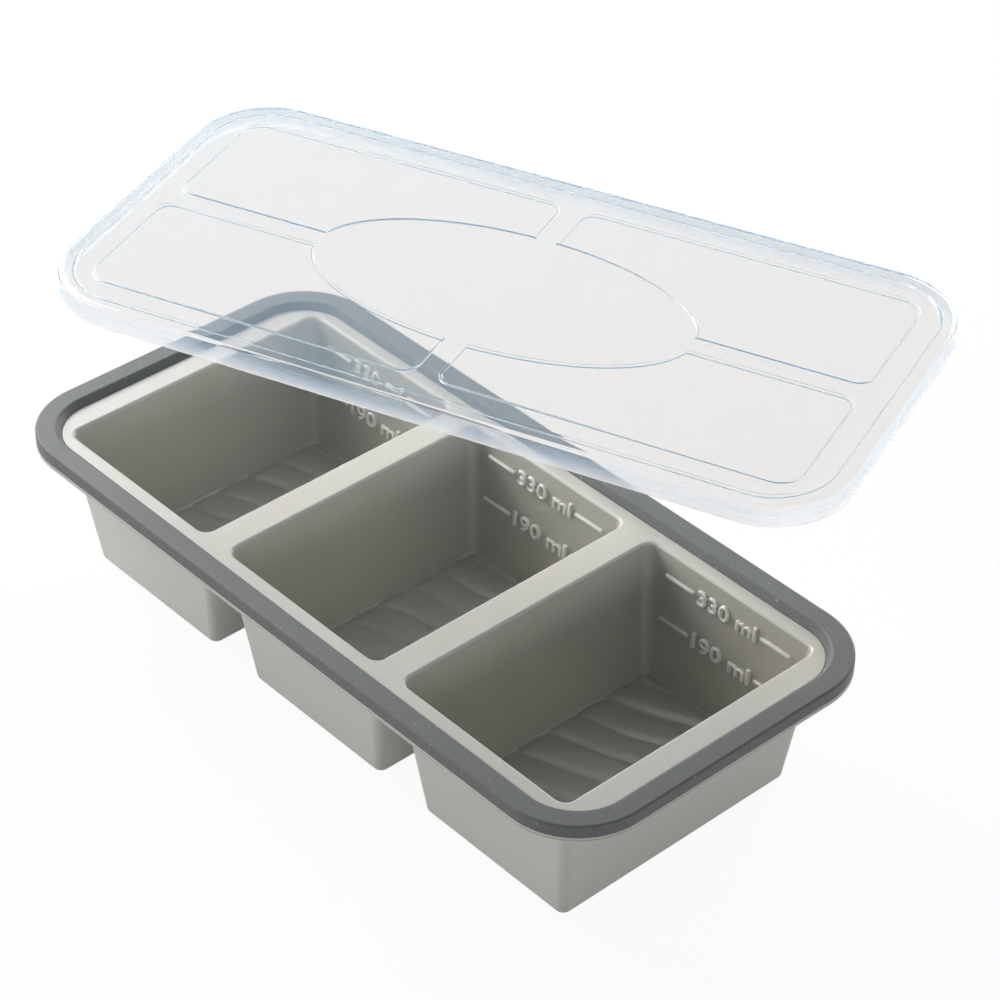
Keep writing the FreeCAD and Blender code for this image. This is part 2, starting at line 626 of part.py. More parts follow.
def panel_outline(sketch, shrink):
    """One quarter panel: two channel sides, two ledge sides and an arc of the middle oval."""
    far_x = size("lid_length") / 2 - size("lid_inset") - shrink
    far_y = size("lid_width") / 2 - size("lid_inset") - shrink
    side = size("lid_channel") / 2 + shrink
    big = size("lid_panel_corner") - shrink
    small = size("lid_channel_corner") - shrink
    long_axis = size("lid_oval_long") / 2 + shrink
    short_axis = size("lid_oval_short") / 2 + shrink
    meets_x = long_axis * math.sqrt(1 - (side / short_axis) ** 2)
    meets_y = short_axis * math.sqrt(1 - (side / long_axis) ** 2)
    up = FreeCAD.Vector(0, 0, 1)
    corners = []
    for x, y, radius, start in (
        (far_x - small, side + small, small, -90),
        (far_x - big, far_y - big, big, 0),
        (side + small, far_y - small, small, 90),
    ):
        turn = math.radians(start)
        corners.append(sketch.addGeometry(Part.ArcOfCircle(
            Part.Circle(vec(x, y), up, radius), turn, turn + math.pi / 2), False))
    ellipse = Part.Ellipse(vec(long_axis, 0), vec(0, short_axis), vec(0, 0))
    oval_arc = sketch.addGeometry(Part.ArcOfEllipse(
        ellipse, math.asin(side / short_axis), math.acos(side / long_axis)), False)
    points = [
        (vec(meets_x, side), vec(far_x - small, side)),
        (vec(far_x, side + small), vec(far_x, far_y - big)),
        (vec(far_x - big, far_y), vec(side + small, far_y)),
        (vec(side, far_y - small), vec(side, meets_y)),
    ]
    low, ledge_side, ledge_top, high = [
        sketch.addGeometry(Part.LineSegment(*ends), False) for ends in points]
    major = sketch.GeometryCount
    minor = major + 1
    sketch.exposeInternalGeometry(oval_arc)
    sketch.addConstraint([
        Sketcher.Constraint("Horizontal", low),
        Sketcher.Constraint("Vertical", ledge_side),
        Sketcher.Constraint("Horizontal", ledge_top),
        Sketcher.Constraint("Vertical", high),
        Sketcher.Constraint("Tangent", low, 2, corners[0], 1),
        Sketcher.Constraint("Tangent", corners[0], 2, ledge_side, 1),
        Sketcher.Constraint("Tangent", ledge_side, 2, corners[1], 1),
        Sketcher.Constraint("Tangent", corners[1], 2, ledge_top, 1),
        Sketcher.Constraint("Tangent", ledge_top, 2, corners[2], 1),
        Sketcher.Constraint("Tangent", corners[2], 2, high, 1),
        Sketcher.Constraint("Coincident", oval_arc, 1, low, 1),
        Sketcher.Constraint("Coincident", oval_arc, 2, high, 2),
        Sketcher.Constraint("Coincident", oval_arc, 3, -1, 1),
        Sketcher.Constraint("PointOnObject", major, 2, -1),
    ])
    far = "sizes.lid_inset + %s" % shrink
    for key, rule, expr in (
        ("low", Sketcher.Constraint("DistanceY", -1, 1, low, 1, side),
         "sizes.lid_channel / 2 + %s" % shrink),
        ("high", Sketcher.Constraint("DistanceX", -1, 1, high, 1, side),
         "sizes.lid_channel / 2 + %s" % shrink),
        ("far_x", Sketcher.Constraint("DistanceX", -1, 1, ledge_side, 1, far_x),
         "sizes.lid_length / 2 - (%s)" % far),
        ("far_y", Sketcher.Constraint("DistanceY", -1, 1, ledge_top, 1, far_y),
         "sizes.lid_width / 2 - (%s)" % far),
        ("corner_low", Sketcher.Constraint("Radius", corners[0], small),
         "sizes.lid_channel_corner - %s" % shrink),
        ("corner_far", Sketcher.Constraint("Radius", corners[1], big),
         "sizes.lid_panel_corner - %s" % shrink),
        ("corner_high", Sketcher.Constraint("Radius", corners[2], small),
         "sizes.lid_channel_corner - %s" % shrink),
        ("long_axis", Sketcher.Constraint("Distance", major, 1, major, 2, 2 * long_axis),
         "sizes.lid_oval_long + 2 * %s" % shrink),
        ("short_axis", Sketcher.Constraint("Distance", minor, 1, minor, 2, 2 * short_axis),
         "sizes.lid_oval_short + 2 * %s" % shrink),
    ):
        index = sketch.addConstraint(rule)
        sketch.renameConstraint(index, key)
        sketch.setExpression("Constraints." + key, expr)


def four_ways(name, feature):
    """Mirror a quarter feature across both middle planes."""
    across = lid.newObject("PartDesign::MultiTransform", name)
    across.Originals = [feature]
    steps = []
    for role in ("YZ_Plane", "XZ_Plane"):
        mirror = lid.newObject("PartDesign::Mirrored", name + "_" + role[:2])
        mirror.MirrorPlane = (plane(lid, role), [""])
        steps.append(mirror)
    across.Transformations = steps
    lid.Tip = across
    doc.recompute()
    return across


# four raised panels, hollowed under so that the sheet keeps its thickness
panel_sketch = new_sketch(lid, "panel_outline", z="sizes.lid_under + sizes.lid_panel_rise")
panel_outline(panel_sketch, 0)
panel = lid.newObject("PartDesign::Pad", "panel")
panel.Profile = panel_sketch
panel.setExpression("Length", "sizes.lid_sheet")
doc.recompute()
four_ways("panels", panel)
unhollowed = lid.Shape.Volume
recess_sketch = new_sketch(lid, "panel_recess_outline", z="sizes.lid_under")
panel_outline(recess_sketch, size("lid_wall"))
recess = lid.newObject("PartDesign::Pocket", "panel_recess")
recess.Profile = recess_sketch
recess.Reversed = True
recess.setExpression("Length", "sizes.lid_panel_rise")
doc.recompute()
four_ways("panel_recesses", recess)
if not lid.Shape.Volume < unhollowed:
    raise RuntimeError("the panel recesses cut nothing")

# locating rib below the ledge: drops just inside the frame ring when the lid is on
rib_outer = "sizes.lid_gap + sizes.lid_wall + sizes.rim_foot + sizes.lid_rib_play"
lid_plate("locating_rib", "sizes.lid_under - sizes.lid_rib_deep",
          rib_outer, "sizes.lid_rib_deep + sizes.lid_sheet / 2",
          inner=rib_outer + " + sizes.lid_rib_wall")

LID_X = size("lid_length") / 2
LID_Y = size("lid_width") / 2
BEAD = size("lid_bead")


def lid_bead_top(p):
    return near(p.z, 0) and abs(p.x) < LID_X - BEAD + 0.05 and abs(p.y) < LID_Y - BEAD + 0.05


def lid_outer_top(p):
    return near(p.z, 0) and not lid_bead_top(p)


round_edges(lid, "lid_top_rounding", lid_outer_top, "sizes.lid_top_fillet")
round_edges(lid, "bead_bevel", lid_bead_top, "sizes.lid_step_bevel", kind="Chamfer")
PANEL_LEVEL = size("lid_panel_level")
round_edges(lid, "panel_bevel", lambda p: near(p.z, PANEL_LEVEL), "sizes.lid_step_bevel",
            kind="Chamfer")
lid.Placement = FreeCAD.Placement(
    FreeCAD.Vector(size("lid_x"), size("lid_y"), size("lid_level")),
    FreeCAD.Rotation(size("lid_yaw"), size("lid_pitch"), size("lid_roll")))
lid.setExpression("Placement.Base.x", "sizes.lid_x")
lid.setExpression("Placement.Base.y", "sizes.lid_y")
lid.setExpression("Placement.Base.z", "sizes.lid_level")
doc.recompute()

# ---------------------------------------------------------------- write the pieces
for obj in doc.Objects:
    if any(word in obj.State for word in ("Invalid", "Error")):
        raise RuntimeError("%s is %s" % (obj.Name, obj.State))
for node in (silicone_tray, rim, hoop, lid):
    shape = node.Shape
    if shape.isNull() or not shape.isValid():
        raise RuntimeError(node.Label + " has no valid shape")
    if len(shape.Solids) != 1:
        raise RuntimeError("%s has %d solids" % (node.Label, len(shape.Solids)))
    shape.exportStep("parts/%s.step" % node.Label)
    box = shape.optimalBoundingBox()
    print(node.Label, "volume %.0f" % shape.Volume,
          "box %.2f..%.2f %.2f..%.2f %.2f..%.2f" % (
              box.XMin, box.XMax, box.YMin, box.YMax, box.ZMin, box.ZMax))
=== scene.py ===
import math

import bmesh
import bpy
from bpy.props import (FloatProperty, FloatVectorProperty, IntProperty, PointerProperty,
                       StringProperty)
from mathutils import Matrix, Quaternion, Vector


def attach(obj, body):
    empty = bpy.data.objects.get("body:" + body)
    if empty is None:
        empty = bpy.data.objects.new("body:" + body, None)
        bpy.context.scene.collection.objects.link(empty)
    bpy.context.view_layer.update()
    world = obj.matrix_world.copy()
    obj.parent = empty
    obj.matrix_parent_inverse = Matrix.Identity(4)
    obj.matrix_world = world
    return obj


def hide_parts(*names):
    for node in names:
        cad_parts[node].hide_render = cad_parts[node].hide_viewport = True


bl_info = {
    "name": "Baby Food Freezer Tray",
    "version": (1, 0, 0),
    "blender": (4, 5, 0),
    "location": "View3D > Sidebar > Freezer Tray",
    "description": "Three-cup silicone freezer tray with a stiff frame ring and a clear lid",
    "category": "Add Mesh",
}

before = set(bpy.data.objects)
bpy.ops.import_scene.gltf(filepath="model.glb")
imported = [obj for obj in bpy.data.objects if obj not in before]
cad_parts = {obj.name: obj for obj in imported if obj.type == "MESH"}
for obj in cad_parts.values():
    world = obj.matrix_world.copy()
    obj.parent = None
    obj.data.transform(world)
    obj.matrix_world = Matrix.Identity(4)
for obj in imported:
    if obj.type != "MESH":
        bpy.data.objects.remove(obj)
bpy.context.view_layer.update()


# ---------------------------------------------------------------- sizes and colours

def length(name, millimetres, text):
    """A length property, given in millimetres and kept in metres."""
    return FloatProperty(name=name, description=text, default=millimetres / 1000,
                         unit="LENGTH", precision=5)


def colour(name, shade, text):
    """A linear colour property."""
    return FloatVectorProperty(name=name, description=text, default=shade, size=3,
                               min=0, max=1, subtype="COLOR")


class TraySizes(bpy.types.PropertyGroup):
    """Sizes of the silicone moulding."""
    pitch: length("Cup pitch", 93.5, "From one cup's middle to the next")
    mouth_long: length("Mouth along the tray", 80.4, "Cup mouth, along the tray")
    mouth_wide: length("Mouth across the tray", 115.4, "Cup mouth, across the tray")
    corner: length("Cup corner", 4.2, "Radius of a cup's upright corners")
    depth: length("Cup depth", 53.4, "From the deck to the cup floor")
    lean: length("Wall lean", 6.7, "How far each wall comes in between mouth and floor")
    mouth_round: length("Mouth rounding", 1.3, "Rounding where the deck turns into a cup")
    floor_round: length("Floor rounding", 1.4, "Rounding between wall and floor inside")
    floor: length("Floor thickness", 3.9, "Thickness under a cup")
    shell_long: length("Shell along the tray", 83.8, "Outside of a cup under the deck")
    shell_wide: length("Shell across the tray", 118.8, "Outside of a cup under the deck")
    shell_corner: length("Shell corner", 3.5, "Radius of the upright corners outside")
    shell_taper: length("Shell taper", 6.7, "How far the outside comes in down to the base")
    base_round: length("Base rounding", 2.0, "Rounding of the outside base edge")
    deck_long: length("Deck length", 288.0, "Raised deck inside the frame ring")
    deck_wide: length("Deck width", 127.0, "Raised deck inside the frame ring")
    deck_thick: length("Deck thickness", 2.2, "Thickness of the deck and of its skirt")
    deck_round: length("Deck rounding", 0.5, "Rounding of the deck's outer edge")
    flange: length("Flange thickness", 2.1, "Thickness of the flange under the ring")
    flange_round: length("Flange rounding", 0.8, "Rounding of the flange's lower edge")
    flange_edge: length("Flange edge", 0.25, "Rounding of the flange's upper edge")
    hollow_round: length("Hollow rounding", 0.8, "Rounding inside, where deck and skirt meet")
    seam: length("Parting seam", 0.2, "Width and depth of the seam round the flange")
    ripple_pitch: length("Ripple pitch", 13.4, "From one floor ripple to the next")
    ripple_height: length("Ripple height", 2.0, "Height of a floor ripple")
    ripple_crest: length("Ripple crest", 3.6, "From a ripple's foot to its crest")
    ripple_start: length("Ripple start", -14.0, "Foot of one ripple, from the middle")
    ripple_sink: length("Ripple sink", 0.2, "How far the ripples' feet lie in the floor")
    ripple_root: length("Ripple root", 1.0, "Thickness of the ripples under their feet")
    ripple_grip: length("Ripple grip", 0.6, "How far the ripples reach into the walls")
    ripple_shift: length("Ripple shift", 31.0, "How far along the ripples each next cup begins")
    ripple_fade: length("Ripple fade", 4.5, "How far from a wall the ripples begin to sink")
    ripple_skew: FloatProperty(name="Ripple skew", description="Turn of the floor ripples",
                               default=math.radians(17), subtype="ANGLE")
    upper_drop: length("Upper mark", 9.25, "From the deck to the upper mark")
    lower_drop: length("Lower mark", 27.2, "From the deck to the lower mark")
    mark_near: length("Mark offset", 16.2, "From a cup's middle to the near end of a line")
    mark_long: length("Mark length", 14.3, "Length of a mark's line")
    mark_line: length("Mark line", 1.5, "Width of a mark's line")
    mark_raise: length("Mark height", 1.0, "How far lines and numbers stand proud")
    mark_root: length("Mark root", 0.6, "How far the lines reach into the wall")
    figure_tall: length("Figure height", 5.6, "Height of the numbers")
    figure_long: length("Figure length", 28.6, "Length of a volume in figures")
    figure_thin: length("Figure thinning", 0.24, "How far a stroke's sides draw in")
    upper_text: StringProperty(name="Upper text", description="Plain volume, upper mark",
                               default="330 ml")
    lower_text: StringProperty(name="Lower text", description="Plain volume, lower mark",
                               default="190 ml")


class RimSizes(bpy.types.PropertyGroup):
    """Sizes of the frame ring."""
    long: length("Ring length", 307.2, "Outside of the ring, along the tray")
    wide: length("Ring width", 146.2, "Outside of the ring, across the tray")
    corner: length("Ring corner", 28.5, "Outside corner radius of the ring")
    top: length("Ring top", 7.7, "Width of the ring's flat top")
    slope: length("Inner slope", 1.9, "How far the inner face leans in")
    rise: length("Above the deck", 2.7, "Ring top above the deck")
    sink: length("Below the deck", 2.1, "Ring foot below the deck")
    outer_round: length("Outer rounding", 0.9, "Rounding of the outer top edge")
    inner_round: length("Inner rounding", 1.1, "Rounding of the inner top edge")
    slot_inset: length("Slot inset", 4.6, "From the outside of the ring to the slot's middle")
    slot_wide: length("Slot width", 1.6, "Slot in the underside, for the wire hoop")
    slot_tall: length("Slot height", 2.65, "Slot in the underside, for the wire hoop")


class LidSizes(bpy.types.PropertyGroup):
    """Sizes of the clear lid, and where it hangs above the tray."""
    long: length("Lid length", 309.6, "Outside of the lid")
    wide: length("Lid width", 148.6, "Outside of the lid")
    corner: length("Lid corner", 29.7, "Outside corner radius")
    wall: length("Skirt wall", 0.9, "Thickness of the skirt")
    sheet: length("Sheet", 1.1, "Thickness of the lid's top")
    bead: length("Edge bead", 6.25, "Width of the raised edge bead")
    bead_rise: length("Bead rise", 0.9, "Bead above the ledge")
    ledge: length("Ledge", 8.25, "Width of the ledge inside the bead")
    panel_rise: length("Panel rise", 0.7, "Raised panels above the ledge")
    panel_corner: length("Panel corner", 9.5, "Outer corner of a panel")
    channel_corner: length("Channel corner", 6.5, "Panel corners beside the channels")
    channel: length("Channel", 8.0, "Width of the channels between panels")
    oval_long: length("Oval length", 150.0, "Middle oval, along the lid")
    oval_wide: length("Oval width", 71.0, "Middle oval, across the lid")
    skirt: length("Skirt depth", 9.2, "From the bead's top to the skirt's edge")
    top_round: length("Top rounding", 1.1, "Rounding of the outer top edge")
    step_round: length("Step rounding", 0.35, "Rounding of the steps in the top")
    inner_round: length("Inner rounding", 0.6, "Rounding under the outer top edge")
    place: FloatVectorProperty(name="Place", description="Middle of the lid's top",
                               default=(-0.0347, 0.0658, 0.1159), subtype="TRANSLATION",
                               unit="LENGTH", precision=5)
    yaw: FloatProperty(name="Yaw", description="Turn of the lifted lid",
                       default=math.radians(20.68), subtype="ANGLE")
    pitch: FloatProperty(name="Pitch", description="Tip of the lifted lid, end to end",
                         default=math.radians(-0.43), subtype="ANGLE")
    roll: FloatProperty(name="Roll", description="Tip of the lifted lid, side to side",
                        default=math.radians(1.08), subtype="ANGLE")


class Finishes(bpy.types.PropertyGroup):
    """Colours of the finishes."""
    silicone: colour("Silicone", (0.456, 0.451, 0.410), "Warm grey silicone")
    silicone_shade: colour("Silicone shade", (0.420, 0.414, 0.375), "Faint cloudy patches")
    # the marks' colour is a painted highlight: lighter than the silicone, for the light that
    # raised lines and figures catch
    mark: colour("Marks", (0.72, 0.715, 0.67), "Polished lines and figures")
    slate: colour("Slate", (0.087, 0.094, 0.095), "Frame ring")
    slate_fleck: colour("Slate fleck", (0.140, 0.148, 0.149), "Fine flecks in the ring")
    speck: colour("Slate speck", (0.30, 0.31, 0.31), "Sparse light specks in the ring")
    steel: colour("Steel", (0.60, 0.60, 0.59), "Wire hoop")
    clear: colour("Clear", (0.95, 0.875, 0.795), "What the lid lets through")
    through: colour("Through", (0.84, 0.84, 0.84), "Lamp light through one face of the lid")
    milk: colour("Milk", (0.44, 0.72, 1.0), "Faint cold milkiness of the lid's top")
    # the skirt's stronger milkiness is a painted highlight for the bright band along the skirt
    skirt_painted_highlight: colour("Skirt milk", (0.80, 0.82, 0.86), "Stronger milkiness of its skirt")
    floor: colour("Floor", (0.86, 0.86, 0.855), "Studio floor")


class Studio(bpy.types.PropertyGroup):
    """Camera and light."""
    lens: FloatProperty(name="Lens", description="Focal length on a 36 mm sensor",
                        default=115.66, min=10, unit="CAMERA")
    camera: FloatVectorProperty(name="Camera", description="Place of the camera",
                                default=(0.679293, -0.578727, 0.755206),
                                subtype="TRANSLATION", unit="LENGTH", precision=5)
    turn: FloatVectorProperty(name="Camera turn", description="Camera rotation", size=4,
                              default=(0.817969, 0.405617, 0.178784, 0.366656),
                              subtype="QUATERNION")
    left: FloatProperty(name="Left light", description="Power of the large lamp on the left",
                        default=31.0, min=0, unit="POWER")
    back: FloatProperty(name="Back light", description="Power of the large lamp behind",
                        default=14.0, min=0, unit="POWER")
    front: FloatProperty(name="Front light", description="Power of the low front lamp",
                         default=9.0, min=0, unit="POWER")
    right: FloatProperty(name="Right light", description="Power of the low right-hand lamp",
                         default=4.8, min=0, unit="POWER")
    sky: FloatProperty(name="Sky", description="Strength of the even light all round",
                       default=0.1, min=0)
    aim: FloatVectorProperty(name="Aim", description="Where the lamps point",
                             default=(0, 0, 0.03), subtype="TRANSLATION", unit="LENGTH")
    segments: IntProperty(name="Corner segments", description="Facets in a round corner",
                          default=16, min=4, max=48)


# size and place of each lamp; its power is the property of the same name
LAMPS = {
    "left": ((1.2, 0.5), (-1.30, 0.00, 0.92)),
    "back": ((1.1, 0.7), (-0.25, 1.42, 0.55)),
    "front": ((1.2, 0.4), (-0.80, -1.35, 0.30)),
    "right": ((1.0, 0.3), (1.50, -0.30, 0.24)),
}

# how each ripple wanders along its length: how far in metres, turn for each metre, first turn
RIPPLE_WANDER = ((0.0011, 95, 0.7), (0.0006, 210, 2.1))
# what each ripple adds to that by its number: how far, turn for each ripple, turn for each metre
RIPPLE_STRAY = (0.0007, 2.3, 60)
# no two ripples are alike: share of the crest's place that changes, turn for each ripple
CREST_CHANGE = (0.15, 1.7)
# share of the height that changes, turn for each ripple, turn for each metre along it
HEIGHT_CHANGE = (0.14, 1.3, 40)
TONGUE = 0.6            # power of the ripples' fall towards a wall: the less, the blunter

LINE_END = 0.3          # rounding of a mark's line at its ends, as a share of its width
LINE_TOP = 0.4          # rounding of a mark's line at its top, as a share of its width
STROKE_ROUND = 0.46     # rounded part of a figure's height; the rest is upright
STEP_WALL = 0.9         # wall of the step inside the lid's bead, as a share of the skirt's

FONT_CAPITAL = 0.69     # height of a figure for a text size of one
NEAR = 1e-6             # lengths closer than this, in metres, are the same
BEYOND = 0.001          # how far a cutting shape reaches past what it cuts


GROUPS = {
    "freezer_tray": TraySizes,
    "freezer_rim": RimSizes,
    "freezer_lid": LidSizes,
    "freezer_finish": Finishes,
    "freezer_studio": Studio,
}


# ---------------------------------------------------------------- shader expressions

class Wire:
    """A node's output; sums on it add Math nodes to the same material."""

    def __init__(self, finish, socket):
        self.finish = finish
        self.socket = socket

    def maths(self, operation, *values):
        return self.finish.node("ShaderNodeMath", {"operation": operation},
                                dict(enumerate(values)))

    def clamped(self):
        self.socket.node.use_clamp = True
        return self

    def __add__(self, other):
        return self.maths("ADD", self, other)

    def __mul__(self, other):
        return self.maths("MULTIPLY", self, other)

    def __sub__(self, other):
        return self.maths("SUBTRACT", self, other)

    def __rsub__(self, other):
        return self.maths("SUBTRACT", other, self)

    def __pow__(self, other):
        return self.maths("POWER", self, other)

    __radd__ = __add__
    __rmul__ = __mul__


class Finish:
    """A procedural material, or the nodes of a world."""

    def __init__(self, name, kind="materials"):
        self.owner = getattr(bpy.data, kind).new(name)
        self.owner.use_nodes = True
        self.nodes = self.owner.node_tree.nodes
        self.links = self.owner.node_tree.links
        self.nodes.clear()

    def node(self, kind, settings=None, sockets=None, output=0):
        """Adds a node: settings first, then the values or links of its inputs."""
        made = self.nodes.new(kind)
        for name, value in (settings or {}).items():
            setattr(made, name, value)
        for name, value in (sockets or {}).items():
            if isinstance(value, Wire):
                self.links.new(value.socket, made.inputs[name])
            else:
                made.inputs[name].default_value = value
        return None if output is None else Wire(self, made.outputs[output])

    def place(self):
        return self.node("ShaderNodeTexCoord", output="Object")

    def noise(self, scale, detail=2.0, rough=0.5):
        """Even noise, with scale in lumps to the metre."""
        return self.node("ShaderNodeTexNoise", {"noise_dimensions": "3D"}, {
            "Vector": self.place(), "Scale": scale, "Detail": detail, "Roughness": rough},
            output="Fac")

    def mix(self, share, first, second):
        """Mixes two colours; 0, 6 and 7 are the colour mix's own inputs."""
        return self.node("ShaderNodeMix", {"data_type": "RGBA"}, {
            0: share, 6: first, 7: second}, output=2)

    def bump(self, height, distance, strength=1.0):
        return self.node("ShaderNodeBump", None, {
            "Height": height, "Distance": distance, "Strength": strength})

    def seen(self):
        """One where the camera, a mirror or glass looks; nought where light is gathered."""
        looks = [self.node("ShaderNodeLightPath", output="Is %s Ray" % ray)
                 for ray in ("Camera", "Glossy", "Transmission")]
        # after one dull bounce this is one or more, which outweighs all three looks
        gathered = self.node("ShaderNodeLightPath", output="Diffuse Depth")
        return (looks[0] + looks[1] + looks[2] - gathered * 3.0).clamped()

    def close(self, shader, output="ShaderNodeOutputMaterial"):
        self.node(output, None, {"Surface": shader}, output=None)
        return self.owner


def four(shade):
    """A colour with its fourth number, which is opaque."""
    return (*shade, 1.0)


def silicone_finish():
    """Soft matt silicone: faintly cloudy, finely grained, with volume marks polished smoother
    and painted lighter, a painted highlight.
    """
    shades = bpy.context.scene.freezer_finish
    finish = Finish("warm_grey_silicone")
    cloud = finish.noise(28, 3)
    grain = finish.noise(2600, 2)
    mark = finish.node("ShaderNodeAttribute", {"attribute_name": "mark"}, output="Fac")
    tint = finish.mix(cloud, four(shades.silicone_shade), four(shades.silicone))
    # the marks are painted lighter than the silicone, a painted highlight
    tint = finish.mix(mark, tint, four(shades.mark))
    surface = finish.node("ShaderNodeBsdfPrincipled", None, {
        "Base Color": tint,
        "Roughness": 0.31 + 0.1 * cloud - 0.12 * mark,
        "IOR": 1.45,
        "Specular IOR Level": 0.9,
        "Sheen Weight": 0.1,
        "Sheen Roughness": 0.5,
        "Normal": finish.bump(grain, 0.00003, 0.5),
    })
    return finish.close(surface)


def slate_finish():
    """Satin slate plastic, moulded with fine flecks and a spark-eroded grain."""
    shades = bpy.context.scene.freezer_finish
    finish = Finish("slate_frame_plastic")
    fleck = finish.noise(1500, 3, 0.65)
    # only the rare peaks of the noise are specks
    speck = ((finish.noise(950, 1) - 0.7) * 12.0).clamped()
    cloud = finish.noise(40, 2)
    tint = finish.mix(fleck ** 2.0, four(shades.slate), four(shades.slate_fleck))
    tint = finish.mix(speck, tint, four(shades.speck))
    surface = finish.node("ShaderNodeBsdfPrincipled", None, {
        "Base Color": tint,
        "Roughness": 0.42 + 0.1 * cloud,
        "IOR": 1.49,
        "Specular IOR Level": 0.35,
        "Normal": finish.bump(fleck, 0.00004, 0.6),
    })
    return finish.close(surface)


def steel_finish():
    """Brushed flat steel wire."""
    shades = bpy.context.scene.freezer_finish
    finish = Finish("flat_steel_wire")
    streak = finish.node("ShaderNodeTexNoise", None, {
        "Vector": finish.node("ShaderNodeMapping", None, {
            "Vector": finish.place(), "Scale": (60, 60, 2600)}),
        "Scale": 1.0, "Detail": 2.0}, output="Fac")
    surface = finish.node("ShaderNodeBsdfPrincipled", None, {
        "Base Color": finish.mix(streak, four([c * 0.85 for c in shades.steel]),
                                 four(shades.steel)),
        "Metallic": 1.0,
        "Roughness": 0.28 + 0.16 * streak,
    })
    return finish.close(surface)


def clear_finish():
    """Clear, slightly milky plastic that lets the lamps through to what is under it."""
    shades = bpy.context.scene.freezer_finish
    finish = Finish("clear_lid_plastic")
    cloud = finish.noise(60, 2)
    edge = finish.node("ShaderNodeAttribute", {"attribute_name": "skirt"}, output="Fac")
    glassy = finish.node("ShaderNodeBsdfPrincipled", None, {
        "Base Color": four(shades.clear),
        "Roughness": 0.02 + 0.03 * cloud,
        "IOR": 1.36,
        "Transmission Weight": 1.0,
    })
    top, skirt = (finish.node("ShaderNodeMixShader", None, {
        0: 0.4,
        1: finish.node("ShaderNodeBsdfDiffuse", None, {"Color": four(shade)}),
        2: finish.node("ShaderNodeBsdfTranslucent", None, {"Color": four(shade)})})
        for shade in (shades.milk, shades.skirt_painted_highlight))
    # where the skirt attribute is set, the lid is milkier and lighter: a painted highlight for
    # the skirt's bright band
    milk = finish.node("ShaderNodeMixShader", None, {0: edge, 1: top, 2: skirt})
    body = finish.node("ShaderNodeMixShader", None, {
        0: 0.11 + 0.02 * cloud + 0.34 * edge, 1: glassy, 2: milk})
    through = finish.node("ShaderNodeBsdfTransparent", None, {"Color": four(shades.through)})
    lamp_ray = finish.node("ShaderNodeLightPath", output="Is Shadow Ray")
    return finish.close(finish.node("ShaderNodeMixShader", None, {
        0: lamp_ray, 1: body, 2: through}))


def floor_finish():
    """Pale matt floor; seen straight on, or through the lid, it is nearly white."""
    shades = bpy.context.scene.freezer_finish
    finish = Finish("studio_floor")
    grain = finish.noise(400, 2)
    paper = finish.node("ShaderNodeBsdfPrincipled", None, {
        "Base Color": four(shades.floor), "Roughness": 0.8 + 0.1 * grain,
        "Specular IOR Level": 0.1})
    white = finish.node("ShaderNodeEmission", None, {"Color": (1, 1, 1, 1), "Strength": 1.0})
    return finish.close(finish.node("ShaderNodeMixShader", None, {
        0: finish.seen() * 0.94, 1: paper, 2: white}))


def sky_finish():
    """An even sky, with white behind it where it is looked at."""
    finish = Finish("studio_sky", "worlds")
    even, white = (finish.node("ShaderNodeBackground", None, {
        "Color": (1, 1, 1, 1), "Strength": strength})
        for strength in (bpy.context.scene.freezer_studio.sky, 1.0))
    return finish.close(finish.node("ShaderNodeMixShader", None, {
        0: finish.seen(), 1: even, 2: white}), "ShaderNodeOutputWorld")


# ---------------------------------------------------------------- modelling by operators

def start(kind, name, **settings):
    """Adds a primitive, with nothing else selected, and opens it for editing."""
    bpy.ops.object.select_all(action="DESELECT")
    getattr(bpy.ops.mesh, "primitive_%s_add" % kind)(**settings)
    piece = bpy.context.object
    piece.name = piece.data.name = name
    bpy.ops.object.transform_apply(location=True, rotation=True, scale=True)
    bpy.ops.object.mode_set(mode="EDIT")
    return piece


def edit(piece):
    only(piece)
    bpy.ops.object.mode_set(mode="EDIT")


def done():
    bpy.ops.object.mode_set(mode="OBJECT")


def only(piece, *others):
    """Selects these objects and no others; the first is active."""
    bpy.ops.object.select_all(action="DESELECT")
    for one in (piece, *others):
        one.select_set(True)
    bpy.context.view_layer.objects.active = piece


def pick(piece, kind, test):
    """Selects the faces, edges or vertices of the mesh under edit that pass a test."""
    bpy.ops.mesh.select_mode(type=kind)
    bpy.ops.mesh.select_all(action="DESELECT")
    mesh = bmesh.from_edit_mesh(piece.data)
    parts = {"FACE": mesh.faces, "EDGE": mesh.edges, "VERT": mesh.verts}[kind]
    found = [part for part in parts if test(part)]
    if not found:
        raise RuntimeError("nothing to select on " + piece.name)
    for part in found:
        part.select_set(True)
    bmesh.update_edit_mesh(piece.data)


def middle(part):
    """Middle of a face or an edge."""
    return sum((v.co for v in part.verts), Vector()) / len(part.verts)


def shift(x=0.0, y=0.0, z=0.0):
    bpy.ops.transform.translate(value=(x, y, z))


def grow(x, y, z, centre):
    bpy.ops.transform.resize(value=(x, y, z), center_override=centre)


def outline(name, long, wide, corner, level):
    """A flat rounded rectangle about the origin, open for editing and selected."""
    segments = bpy.context.scene.freezer_studio.segments
    piece = start("plane", name, size=1)
    grow(long, wide, 1, (0, 0, 0))
    bpy.ops.mesh.bevel(offset=corner, segments=segments, affect="VERTICES")
    bpy.ops.mesh.select_all(action="SELECT")
    shift(z=level)
    bpy.ops.mesh.select_mode(type="FACE")
    return piece


def carry(steps):
    """Takes the selected face on through a list of steps, each (inward, upward)."""
    for inward, upward in steps:
        if abs(inward) > NEAR / 10:
            bpy.ops.mesh.inset(thickness=inward, depth=0)
            if abs(upward) > NEAR / 1000:
                shift(z=upward)
        else:
            bpy.ops.mesh.extrude_region_move(TRANSFORM_OT_translate={"value": (0, 0, upward)})


